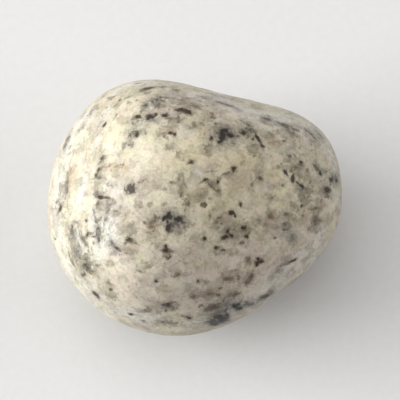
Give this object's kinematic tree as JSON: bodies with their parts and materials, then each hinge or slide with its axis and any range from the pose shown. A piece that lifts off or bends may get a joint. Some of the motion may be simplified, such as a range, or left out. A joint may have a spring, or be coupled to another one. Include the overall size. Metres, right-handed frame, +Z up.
{
  "type": "tumbled stone",
  "caption": "Tumbled dalmatian jasper pebble: one rounded, slightly wedge-shaped stone of cream, grey-flecked rock with black spots, resting on a small worn flat.",
  "frame": {"origin": "in the plane that the stone rests on, under the middle of its box", "axes": "+Z up, out of the broad top; +X along the length, towards the narrower right end; +Y towards the long back slope"},
  "size_m": [0.0296, 0.0258, 0.0208],
  "materials": {
    "stone": "tumble-polished, semi-gloss"
  },
  "bodies": {
    "root": {"stone": "stone"}
  },
  "joints": []
}
